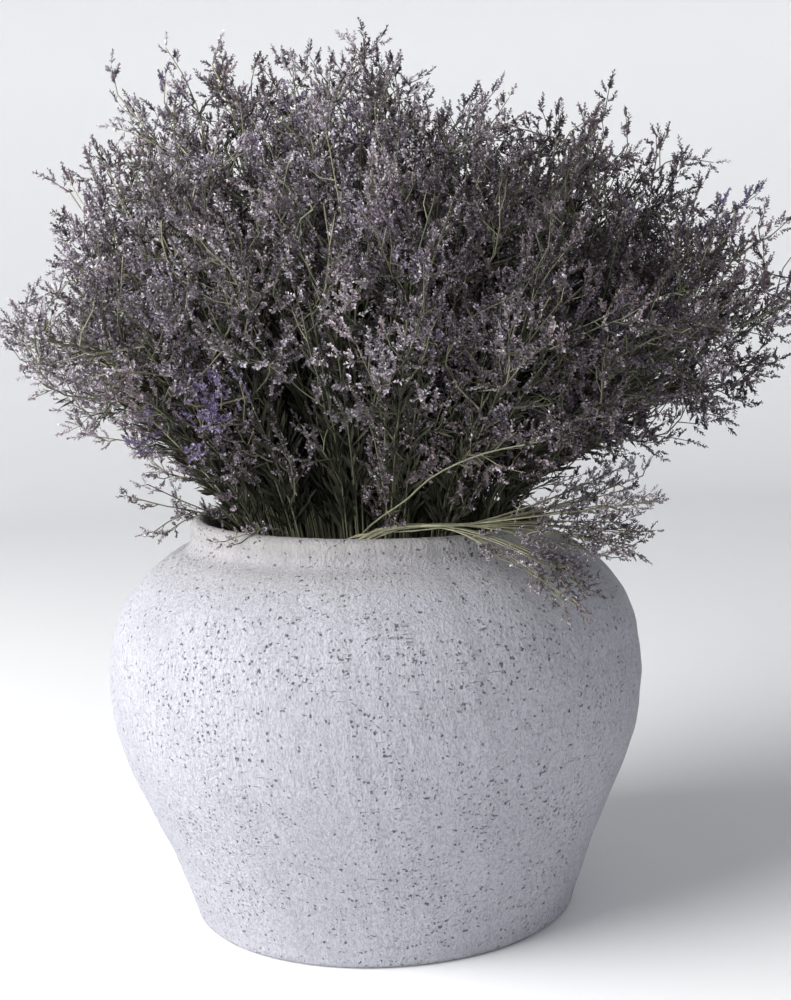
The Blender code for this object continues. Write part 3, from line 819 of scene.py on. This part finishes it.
def side_twigs(paths, which, share, turn, lean, length, drift):
    """Twigs that leave their paths at an angle and bend back towards their direction, more or less."""
    start, ahead = at_share(paths, which, share)
    ahead = ahead + drift
    ahead = ahead / lengths(ahead)
    side = beside(ahead, turn)
    t = np.linspace(0, 1, TWIG_POINTS - 1)
    angle = lean[:, None] * (1 - BEND_BACK * t)
    steps = np.cos(angle)[..., None] * ahead[:, None] + np.sin(angle)[..., None] * side[:, None]
    steps = steps * (length / (TWIG_POINTS - 1))[:, None, None]
    run = np.concatenate([np.zeros((len(start), 1, 3)), np.cumsum(steps, axis=1)], axis=1)
    return start[:, None] + run


def fan_out(paths, kind, rng):
    """Twigs or spikes along each path, of which the last carries it on, and the path of each."""
    number = kind["number"]
    which = np.repeat(np.arange(len(paths)), number)
    order = np.tile(np.arange(number), len(paths))
    last = order == number - 1
    low, high = kind["shares"]
    step = order + rng.uniform(-UNEVEN_STEPS, UNEVEN_STEPS, len(which))
    share = low + (high - low) * step / (number - 1)
    share = np.where(last, 1, np.clip(share, low, 1))
    turn = np.repeat(rng.uniform(0, 2 * math.pi, len(paths)), number) + order * GOLDEN_ANGLE
    lean = np.where(last, LAST_LEAN, rng.uniform(*kind["lean"], len(which)))
    length = rng.uniform(*kind["length"], len(which)) * (1 + kind["level"] * (1 - share))
    drift = rng.normal(0, kind["scatter"], (len(which), 3)) + UP * kind["rise"]
    return side_twigs(paths, which, share, turn, lean, length, drift), which


def ring_faces(first, around):
    """Faces between rings of points and the next rings, by the first point of each ring."""
    k = np.arange(around)
    a, b = first + k, first + (k + 1) % around
    c, d = b + around, a + around
    halves = [np.stack(corners, axis=-1).reshape(-1, 3) for corners in ((a, b, c), (a, c, d))]
    return np.concatenate(halves)


def turned_shape(radius, height, angle):
    """Points of level rings, row by row, and the faces between them."""
    radius, height = np.broadcast_arrays(radius, height + 0 * angle)
    points = np.stack([radius * np.cos(angle), radius * np.sin(angle), height], axis=-1)
    first = np.arange(len(height) - 1)[:, None] * len(angle)
    return points.reshape(-1, 3), ring_faces(first, len(angle))


def tubes(paths, radii, sides):
    """Thin tubes along paths, with a radius for each of their points."""
    count, rows = paths.shape[:2]
    ahead = np.gradient(paths, axis=1)
    ahead = ahead / np.maximum(lengths(ahead), TINY)
    whole = paths[:, -1] - paths[:, 0]
    whole = whole / np.maximum(lengths(whole), TINY)
    fixed = beside(whole, np.zeros(count))[:, None]
    side = fixed - ahead * (fixed * ahead).sum(axis=2, keepdims=True)
    side = side / lengths(side)
    above = np.cross(ahead, side)
    turn = np.arange(sides) * 2 * math.pi / sides
    ring = np.cos(turn)[:, None] * side[:, :, None] + np.sin(turn)[:, None] * above[:, :, None]
    points = (paths[:, :, None] + radii[:, :, None, None] * ring).reshape(-1, 3)
    first = (np.arange(count)[:, None, None] * rows + np.arange(rows - 1)[None, :, None]) * sides
    return points, ring_faces(first, sides)


def leaf_faces(count, along):
    """Faces of leaves whose points are foot, one side, tip and the other side, folded along or across."""
    shape = np.array([(0, 2, 1), (0, 3, 2)]) if along else np.array([(0, 1, 3), (1, 2, 3)])
    return (np.arange(count)[:, None, None] * 4 + shape[None]).reshape(-1, 3)


def folded_leaves(start, out, across, length, width, fold):
    """Pointed leaves, folded along the middle."""
    above = np.cross(out, across)
    middle = start + out * length * BRACT_WIDEST + above * width * fold
    half = across * width / 2
    points = np.stack([start, middle - half, start + out * length, middle + half], axis=1)
    return points.reshape(-1, 3), leaf_faces(len(start), True)


def spike_axes(spikes, size, tone, violet):
    """Narrow bodies of dry bracts that the florets sit on, bent as their spike is, drawn darker than the
    florets as painted shade inside the spike.
    """
    whole = spikes[:, -1] - spikes[:, 0]
    across = beside(whole / lengths(whole), np.zeros(len(spikes)))
    half = across * SPIKE_HALF_WIDTH * size
    points = np.stack([spikes[:, 0], spikes[:, 1] - half, spikes[:, 2], spikes[:, 1] + half], axis=1)
    tint = np.zeros((len(spikes), 4, 3))
    # Painted shade: the body is darker than its florets
    tint[:, :, 0] = np.clip(tone - SPIKE_PAINTED_SHADE, 0, 1)[:, None]
    tint[:, :, 1] = BRACT_MOUTH
    tint[:, :, 2] = violet[:, None]
    return points.reshape(-1, 3), leaf_faces(len(spikes), False), tint.reshape(-1, 3)


def shade_filler_leaves(paths, number, first, last, size, rng):
    """Dark leaf-shaped filler, painted shade that fills the inside of the bunch, on its stems and branches.
    """
    which = np.repeat(np.arange(len(paths)), number)
    share = rng.uniform(first[which], last)
    start, ahead = at_share(paths, which, share)
    side = beside(ahead, rng.uniform(0, 2 * math.pi, len(which)))
    lean = rng.uniform(*LEAF_LEAN, len(which))[:, None]
    out = np.cos(lean) * ahead + np.sin(lean) * side
    across = beside(out, rng.uniform(0, 2 * math.pi, len(which)))
    size = size * (1 - LEAF_SHRINK * share[:, None] ** LEAF_SHRINK_POWER)
    length = rng.uniform(*LEAF_LENGTH, len(which))[:, None] * size
    width = rng.uniform(*LEAF_WIDTH, len(which))[:, None] * size
    return folded_leaves(start, out, across, length, width, LEAF_FOLD)


def violet_share(spots, rng):
    """How violet the florets at given points are: a little anywhere, and much in a few patches."""
    violet = rng.normal(*VIOLET_USUAL, len(spots))
    for centre, radius, most in VIOLET_PATCHES:
        away = lengths(spots - np.array(centre))[:, 0] / radius
        violet = np.maximum(violet, most * np.clip(VIOLET_FADE - away, 0, 1))
    return np.clip(violet, 0, 1)


def grow_florets(spikes, tone, violet, scale, rng):
    """Two rows of papery florets along each spike, with their colour attribute."""
    count = len(spikes)
    which = np.repeat(np.arange(count), FLORETS)
    number = np.tile(np.arange(FLORETS), count)
    share = FIRST_FLORET + (1 - FIRST_FLORET) * number / FLORETS
    start, ahead = at_share(spikes, which, share)
    phase = np.repeat(rng.uniform(0, 2 * math.pi, count), FLORETS)
    turn = phase + math.pi * (number % 2) + rng.uniform(-FLORET_TURN, FLORET_TURN, len(which))
    side = beside(ahead, turn)
    lean = np.where(number == FLORETS - 1, LAST_LEAN, rng.uniform(*FLORET_LEAN, len(which)))[:, None]
    out = np.cos(lean) * ahead + np.sin(lean) * side
    across = np.cross(ahead, side)
    size = scale * (FLORET_SIZE - FLORET_SHRINK * share[:, None])
    length = rng.uniform(*FLORET_LENGTH, len(which))[:, None] * size
    width = rng.uniform(*FLORET_WIDTH, len(which))[:, None] * size
    points, faces = folded_leaves(start, out, across, length, width, FLORET_FOLD)
    tint = np.zeros((len(which), 4, 3))
    tint[:, :, 0] = np.clip(tone[which] + rng.normal(0, FLORET_TONES, len(which)), 0, 1)[:, None]
    tint[:, :, 1] = FLORET_MOUTH
    tint[:, :, 2] = violet[which][:, None]
    return points, faces, tint.reshape(-1, 3)


class Spray:
    """One spray in its cell of the disc: its stems, and the branches on them."""

    def __init__(self, q, others, stretch, rng):
        self.q, self.others, self.stretch, self.rng = q, others, stretch, rng
        self.turns = rng.uniform(0, 2 * math.pi) + np.arange(STEMS) * GOLDEN_ANGLE
        direction = turned(self.turns)
        self.aside = direction * (self.cell(direction) * STEM_ASIDE)[:, None]
        self.aside[0] = 0
        self.ends = rng.uniform(*STEM_ENDS, STEMS)
        self.ends[0] = MAIN_STEM_END
        self.waves = rng.uniform(0, 2 * math.pi, (STEMS, 2))
        rho = np.linalg.norm(q)
        self.outer = np.clip((rho - INNER_RING) / (OUTER_RING - INNER_RING), 0, 1)
        self.side = abs(q[0]) / rho

    def cell(self, direction):
        """How far the spray's cell reaches in each direction."""
        return cell_reach(np.tile(self.q, (len(direction), 1)), self.others, direction)

    def at(self, stem, place):
        """Disc points of stems at shares of the run."""
        gather = STEM_GATHER + (1 - STEM_GATHER) * place
        phase = np.array(STEM_WAVES) * place[..., None] + self.waves[stem]
        wave = np.stack([np.sin(phase[..., 0]), np.cos(phase[..., 1])], axis=-1)
        wander = wave * (STEM_WANDER / math.sqrt(SPRAYS) * place)[..., None]
        return self.q + self.aside[stem] * gather[..., None] + wander

    def stems(self):
        place = np.linspace(0, 1, STEM_POINTS)[None] * self.ends[:, None]
        stem = np.tile(np.arange(STEMS)[:, None], (1, STEM_POINTS))
        return flow_paths(self.at(stem, place), np.full(STEMS, self.stretch), place)

    def first_leaves(self):
        """Where the dark filler leaves of painted shade on each stem begin, as shares of its run."""
        return np.full(STEMS, LEAVES_FROM_INNER + (LEAVES_FROM_OUTER - LEAVES_FROM_INNER) * self.outer)

    def branches(self):
        rng = self.rng
        total = int(round(BRANCHES_INNER + (BRANCHES_OUTER - BRANCHES_INNER) * self.outer))
        low = LOWEST_BRANCH_FRONT + (LOWEST_BRANCH_SIDE - LOWEST_BRANCH_FRONT) * self.side
        low = LOWEST_BRANCH_INNER + (low - LOWEST_BRANCH_INNER) * self.outer
        number = np.arange(total)
        owner = number % STEMS
        crowded = ((number + rng.uniform(0, 1, total)) / total) ** BRANCH_CROWDING
        end = low + (HIGHEST_BRANCH - low) * crowded
        leave = np.minimum(end - rng.uniform(*BRANCH_RISE, total), self.ends[owner] - BRANCH_BELOW_END)
        direction = turned(self.turns[owner] + rng.uniform(-BRANCH_TURN, BRANCH_TURN, total))
        width = table(BRANCH_WIDTHS, end) * np.sqrt(rng.uniform(*BRANCH_SPREAD, total))
        target = self.q + direction * (self.cell(direction) * width)[:, None]
        start = self.at(owner, leave)
        t = np.linspace(0, 1, BRANCH_POINTS)
        sway = rng.normal(0, BRANCH_SWAY / math.sqrt(SPRAYS), (total, 1, 2))
        sway = sway * np.sin(math.pi * t)[None, :, None]
        path_q = start[:, None] + (target - start)[:, None] * (t * (2 - t))[None, :, None] + sway
        place = leave[:, None] + (end - leave)[:, None] * t[None]
        return flow_paths(path_q, np.full(total, self.stretch), place)


def standing_branch(q, stretch, leave, tip_at):
    """A branch that leaves the spray's stem and bends out to a chosen tip."""
    t = np.linspace(0, STANDING_SHARE, BRANCH_POINTS)
    place = leave + (1 - leave) * t
    run = flow(np.tile(q, (BRANCH_POINTS, 1)), np.full(BRANCH_POINTS, stretch), place)
    end = flow(q[None], np.array([stretch]), np.array([1.0]))[0]
    return (run + (np.array(tip_at) - end) * t[:, None] ** STANDING_POWER)[None]


def lay_spray(laid, q, rng):
    """The stem and limbs of a spray that leaves the vase over its rim, by a given route."""
    inside = flow(np.tile(q, (len(LAID_INSIDE), 1)), np.ones(len(LAID_INSIDE)), np.array(LAID_INSIDE))
    route = np.concatenate([inside, np.array(laid["route"])])
    stem = through(np.repeat(route[None], LAID_POINTS, axis=0), np.linspace(0, 1, LAID_POINTS))[None]
    root, ahead = at_share(stem, np.array([0]), np.array([LIMB_ROOT]))
    limbs = []
    for leave, end in laid["limbs"]:
        end = np.array(end)
        aside = beside(ahead, rng.uniform(0, 2 * math.pi, 1)) * LIMB_ASIDE
        middle = at_share(stem, np.array([0]), np.array([(LIMB_ROOT + leave) / 2]))[0] + aside
        fork, on = at_share(stem, np.array([0]), np.array([leave]))
        fork = fork + aside
        swing = (fork + end) / 2 + on * np.linalg.norm(end - fork) * LAID_SWING
        knots = np.stack([root[0], middle[0], fork[0], swing[0], end])
        limbs.append(through(np.repeat(knots[None], LIMB_POINTS, axis=0), np.linspace(0, 1, LIMB_POINTS)))
    tip = at_share(stem, np.zeros(LIMB_POINTS, int), np.linspace(LIMB_ROOT, 1, LIMB_POINTS))[0]
    return stem, np.array(limbs + [tip])


def sector(q):
    """The name of the side of the bunch that a disc point is on."""
    sides = tuple(STEM_TONES_WITH_PAINTED_SHADE)
    return sides[round(math.atan2(q[1], q[0]) / (2 * math.pi) * len(sides)) % len(sides)]


def grow_bunch(rng):
    """All sprays, in groups by the side of the bunch that they are on."""
    points = disc_points()
    cells = reserved_cells(points)
    free = [i for i in range(SPRAYS) if i not in cells.values()]
    names = {index: f"spray_{number + 1:02d}" for number, index in enumerate(free)}
    stretches = {i: measured_stretch(names[i], points[i]) * dipped(points[i]) for i in free}
    standing = {}
    for leave, tip_at in STANDING_OUT:
        ends = {i: tips(points[i][None], STANDING_REACH)[0] for i in free if i not in standing}
        standing[min(ends, key=lambda i: np.linalg.norm(ends[i] - tip_at))] = (leave, tip_at)
    groups = {}
    for index in free:
        spray = Spray(points[index], points[free], stretches[index], rng)
        side = sector(points[index])
        # Stem tone by side, with painted shade on the right
        group = groups.setdefault(side, {"tone": STEM_TONES_WITH_PAINTED_SHADE[side], "pale": 0, "floret": 1})
        for key in ("nodes", "stems", "branches", "leaves"):
            group.setdefault(key, [])
        group["nodes"].append(names[index])
        group["stems"].append(spray.stems())
        group["leaves"].append(spray.first_leaves())
        group["branches"].append(spray.branches())
        if index in standing:
            group["branches"].append(standing_branch(points[index], stretches[index], *standing[index]))
    for name, index in cells.items():
        laid = LAID_SPRAYS[name]
        stem, limbs = lay_spray(laid, points[index], rng)
        groups[name] = {"nodes": [name], "stems": [stem], "branches": [limbs], **laid}
    return groups


def taper(paths, radius, end_share):
    """Radii that shrink to a share of the first along each path."""
    return np.tile(radius * np.linspace(1, end_share, paths.shape[1]), (len(paths), 1))


def toned(shape, count, tone, spread, rng):
    """A part of a piece with a tone for each of its equal members."""
    points, faces = shape
    each = np.clip(rng.normal(tone, spread, count), 0, 1)
    return points, faces, np.repeat(each, len(points) // count)[:, None] * np.ones(3)


def wood(paths, shape, tone, spread, rng):
    """Tapered tubes along paths, each of its own tone: shape is their radius, taper and sides."""
    radius, end_share, sides = shape
    return toned(tubes(paths, taper(paths, radius, end_share), sides), len(paths), tone, spread, rng)


def join(parts):
    """Points, faces and colour attribute of several parts as one."""
    points, faces, tints = zip(*parts)
    start = np.cumsum([0] + [len(each) for each in points])
    faces = [each + first for each, first in zip(faces, start)]
    return np.concatenate(points), np.concatenate(faces), np.concatenate(tints)


def shown_stem(first, points):
    """The pale stem on the front of the bunch, from a share of its run on."""
    route = np.repeat(np.array(SHOWN_STEM)[None], points, axis=0)
    return through(route, np.linspace(first, 1, points))[None]


def stalk_parts(name, group, stems, branches, twigs, rng):
    """The parts of a group's first piece: stems, branches, twigs and the dark filler leaves of painted
    shade.
    """
    tone = group["tone"]
    parts = [
        wood(stems, (STEM_RADIUS, STEM_TAPER, STEM_SIDES), tone, WOOD_TONES, rng),
        wood(branches, (BRANCH_RADIUS, BRANCH_TAPER, BRANCH_SIDES), tone, WOOD_TONES, rng),
        wood(twigs, (TWIG_RADIUS, TWIG_TAPER, TWIG_SIDES), tone, WOOD_TONES, rng),
    ]
    if "leaves" in group:
        # Painted shade: dark filler leaves inside the bunch, on stems and branches
        leaves = shade_filler_leaves(stems, LEAVES, np.concatenate(group["leaves"]), LEAVES_TO, 1, rng)
        parts.append(toned(leaves, len(stems) * LEAVES, FILLER_SHADE_TONE, FILLER_SHADE_TONES, rng))
        first = np.zeros(len(branches))
        leaves = shade_filler_leaves(branches, BRANCH_LEAVES, first, BRANCH_LEAVES_TO, BRANCH_LEAF_SIZE, rng)
        parts.append(toned(leaves, len(branches) * BRANCH_LEAVES, FILLER_SHADE_TONE, FILLER_SHADE_TONES, rng))
    if name == SHOWN_SIDE:
        shape = (SHOWN_RADIUS, SHOWN_TAPER, STEM_SIDES)
        parts.append(wood(shown_stem(0, SHOWN_POINTS), shape, SHOWN_TONE, SHOWN_TONES, rng))
    return parts


def build_group(name, group, finishes, rng):
    """The two pieces of a group of sprays: its stems with their twigs and dark filler leaves of painted
    shade, and its florets.
    """
    if name == SHOWN_SIDE:
        group["branches"].append(shown_stem(SHOWN_HEAD_FROM, BRANCH_POINTS))
    stems, branches = np.concatenate(group["stems"]), np.concatenate(group["branches"])
    twigs, branch_of = fan_out(branches, group.get("twig", TWIG), rng)
    spikes, twig_of = fan_out(twigs, group.get("spike", SPIKE), rng)
    points, faces, tint = join(stalk_parts(name, group, stems, branches, twigs, rng))
    stalks = mesh_piece(f"{name}_stems", points, faces, finishes["stems"], tint, True)
    branch = branch_of[twig_of]
    shade = FLORET_TONE + group["pale"] + rng.normal(0, BRANCH_TONES, len(branches))[branch]
    shade = shade + rng.normal(0, SPIKE_TONES, len(spikes))
    # Painted shade: spikes on the right of the bunch, away from the key light, are drawn darker
    shade = shade - RIGHT_PAINTED_SHADE * np.interp(spikes[:, 0, 0], RIGHT_SHADE_PLACES, RIGHT_SHADE_SHARES)
    violet = violet_share(branches[:, -1], rng)[branch]
    size = group["floret"]
    florets = grow_florets(spikes, shade, violet, size, rng)
    points, faces, tint = join([florets, spike_axes(spikes, size**2, shade, violet)])
    heads = mesh_piece(f"{name}_florets", points, faces, finishes["florets"], tint)
    for piece, slot in ((stalks, "stems"), (heads, "florets")):
        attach(piece, "root")
        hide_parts(*group["nodes"])


def vase_profile():
    """Rows of (radius, height) from the inner floor's middle over the lip to the foot's middle."""
    outer = np.array([(r, z) for z, r in OUTER_WALL])
    lip_middle = RIM_RADIUS - WALL / 2
    lip_height = VASE_HEIGHT - WALL / 2
    turn = np.linspace(math.pi, 0, LIP_ROWS)
    lip = np.column_stack([lip_middle + WALL / 2 * np.cos(turn), lip_height + WALL / 2 * np.sin(turn)])
    turn = np.linspace(0, math.pi / 2, FOOT_ROWS)
    foot = np.column_stack(
        [FOOT_RADIUS - FOOT_ROUNDING + FOOT_ROUNDING * np.cos(turn), FOOT_ROUNDING * (1 - np.sin(turn))]
    )
    knots = np.concatenate([lip[-1:], outer, foot[:1]])
    share = np.linspace(0, 1, OUTER_ROWS)
    outside = through(np.repeat(knots[None], OUTER_ROWS, axis=0), share)
    corner = (FOOT_RADIUS - WALL, WALL + FLOOR_ROUNDING)
    inner = np.concatenate([[corner], outer[::-1][::2] - (WALL, 0), lip[:1]])
    inside = through(np.repeat(inner[None], INNER_ROWS, axis=0), np.linspace(0, 1, INNER_ROWS))
    floor = np.array([(0, WALL), (FOOT_RADIUS - 2 * WALL, WALL)])
    return np.concatenate([floor, inside, lip[1:-1], outside, foot[1:], [(0, 0)]])


def build_vase(finish, rng):
    """The jar, turned from its profile, with the slight unevenness of hand-made stoneware."""
    profile = vase_profile()
    radius, height = profile[:, :1], profile[:, 1:]
    angle = np.arange(VASE_TURNS) * 2 * math.pi / VASE_TURNS
    wobble = 0
    for waves in WOBBLE_WAVES:
        wobble += np.sin(waves * angle + WOBBLE_TWIST * height * waves + rng.uniform(*WAVE_PHASES)) / waves
    ripple = 0
    for waves in RIPPLE_WAVES:
        for around, twist in ((waves, RIPPLE_TWIST), (WHEEL_WAVES, WHEEL_TWIST)):
            up = twist * height * rng.uniform(*TWIST_SPREAD)
            ripple += np.sin(around * angle + up + rng.uniform(*WAVE_PHASES))
    away = np.clip(radius / RIM_RADIUS, 0, 1)
    lifted = np.clip(height / EVEN_BELOW, 0, 1)
    radius = radius + (WOBBLE * wobble + RIPPLE * ripple) * away * lifted
    raised = np.clip((height - LIP_TILT_FROM) / (VASE_HEIGHT - LIP_TILT_FROM), 0, 1)
    height = height - LIP_TILT * raised**2 * np.cos(angle)
    points, faces = turned_shape(radius, height, angle)
    vase = mesh_piece("stoneware_vase", points, faces, finish, smooth=True)
    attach(vase, "root")
    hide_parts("vase")


def build_stage():
    """A round pale floor whose edge curves up, so that no horizon shows from any side."""
    turn = np.linspace(0, math.pi / 2, CURVE_ROWS)
    edge = np.column_stack([FLOOR_RADIUS + FLOOR_CURVE * np.sin(turn), FLOOR_CURVE * (1 - np.cos(turn))])
    top = (FLOOR_RADIUS + FLOOR_CURVE, STAGE_HEIGHT)
    profile = np.concatenate([[(0.0, 0.0), (FLOOR_MIDDLE, 0.0)], edge, [top]])
    angle = np.arange(STAGE_TURNS) * 2 * math.pi / STAGE_TURNS
    points, faces = turned_shape(profile[:, :1], profile[:, 1:], angle)
    finish, _, shader = new_material("pale_floor", *FLOOR_FINISH)
    shader.inputs["Base Color"].default_value = (*STAGE_COLOUR, 1)
    mesh_piece("floor", points, faces[:, ::-1], finish, smooth=True)


def area_light(name, place, target, size, power, colour):
    light = bpy.data.lights.new(name, "AREA")
    light.shape = "DISK"
    light.size = size
    light.energy = power
    light.color = colour
    made = bpy.data.objects.new(name, light)
    made.location = place
    away = made.location - Vector(target)
    made.rotation_euler = away.to_track_quat("Z", "Y").to_euler()
    bpy.context.collection.objects.link(made)


def light_scene():
    world = bpy.data.worlds.new("studio")
    world.use_nodes = True
    background = world.node_tree.nodes["Background"]
    background.inputs["Color"].default_value = (*SKY_COLOUR, 1)
    background.inputs["Strength"].default_value = SKY_STRENGTH
    bpy.context.scene.world = world
    area_light("key", KEY_PLACE, KEY_TARGET, KEY_SIZE, KEY_POWER, KEY_COLOUR)
    bpy.context.scene.view_settings.view_transform = "Standard"


def place_camera():
    camera = bpy.data.cameras.new("camera")
    camera.sensor_fit = "VERTICAL"
    camera.sensor_height = CAMERA_SENSOR
    camera.lens = CAMERA_LENS
    made = bpy.data.objects.new("camera", camera)
    pitch = Matrix.Rotation(math.radians(90 + CAMERA_PITCH), 4, "X")
    roll = Matrix.Rotation(math.radians(CAMERA_ROLL), 4, "Z")
    made.matrix_world = Matrix.Translation(CAMERA_PLACE) @ pitch @ roll
    bpy.context.collection.objects.link(made)
    bpy.context.scene.camera = made


place_camera()
light_scene()
build_stage()
draws = np.random.default_rng(SEED)
build_vase(stoneware(), draws)
finishes = {"stems": stem_material("dry_stems"), "florets": floret_material("dry_florets")}
for group_name, group in grow_bunch(draws).items():
    build_group(group_name, group, finishes, draws)
